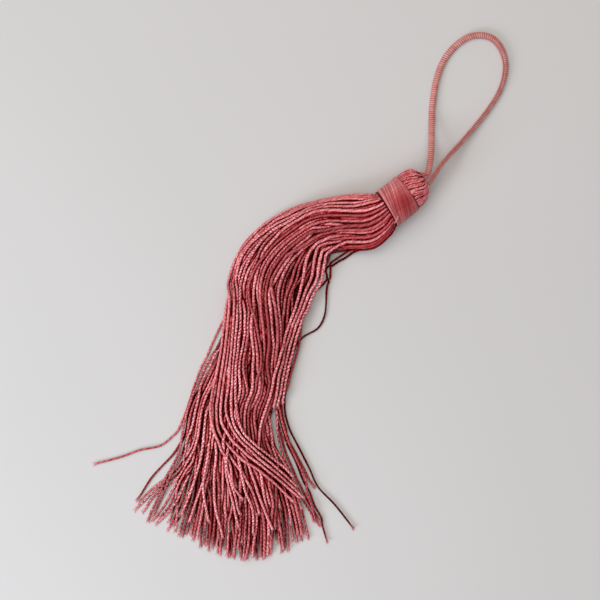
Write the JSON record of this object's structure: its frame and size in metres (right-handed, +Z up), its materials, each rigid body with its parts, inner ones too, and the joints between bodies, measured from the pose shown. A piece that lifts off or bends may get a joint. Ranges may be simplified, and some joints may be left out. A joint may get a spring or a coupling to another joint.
{
  "type": "silk tassel with hanging loop",
  "caption": "Silk tassel lying on its side: twisted yarn skirt under a bound, rounded head, with a long corded hanging loop.",
  "frame": {"origin": "on the surface the tassel lies on, under the middle of the head and skirt's box, with the free hanging cord left out", "axes": "+Z up from the surface; +Y from the skirt's cut ends towards the head and the loop; +X to the side the head leans to"},
  "size_m": [0.1241, 0.1579, 0.0122],
  "materials": {
    "skirt_yarn": "satin",
    "binding_thread": "satin",
    "cord_yarn": "satin"
  },
  "bodies": {
    "root": {"yarn_skirt": "skirt_yarn", "neck_binding": "binding_thread", "hanging_cord": "cord_yarn"}
  },
  "joints": []
}
